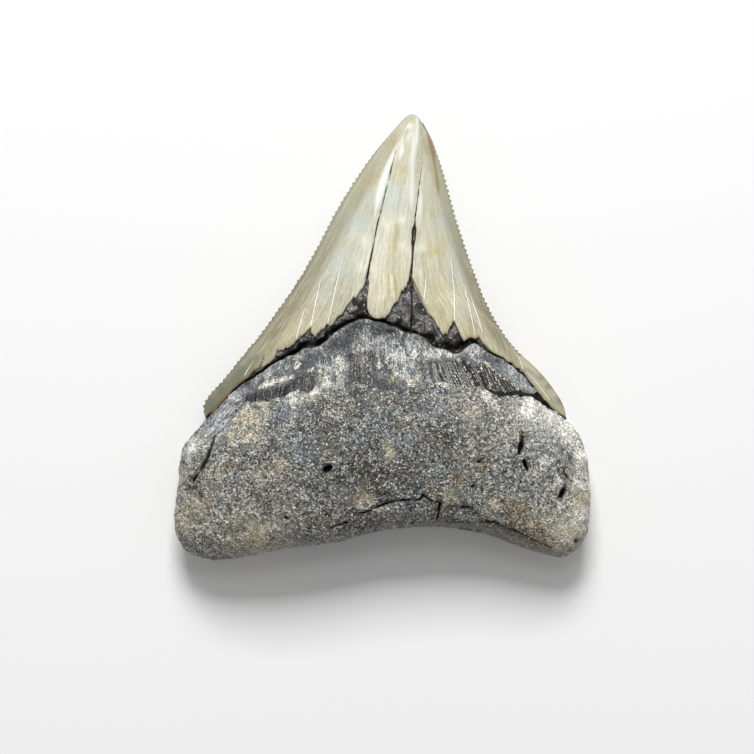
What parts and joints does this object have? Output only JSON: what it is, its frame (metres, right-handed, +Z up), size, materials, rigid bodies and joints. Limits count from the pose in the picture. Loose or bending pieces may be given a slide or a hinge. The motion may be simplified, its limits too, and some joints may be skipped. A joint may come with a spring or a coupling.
{
  "type": "fossil shark tooth",
  "caption": "Large triangular fossil shark tooth with a pale serrated crown and a grey pitted root, lying on its flat outer face.",
  "frame": {"origin": "on the surface the tooth lies on, under the middle of its bounding box", "axes": "+Y towards the tip of the crown, +Z up out of the domed inner face, +X across the root"},
  "size_m": [0.0934, 0.1, 0.021],
  "materials": {
    "fossil": "polished cream enamel on the crown, rough grey mineralised root"
  },
  "bodies": {
    "root": {"tooth": "fossil"}
  },
  "joints": []
}
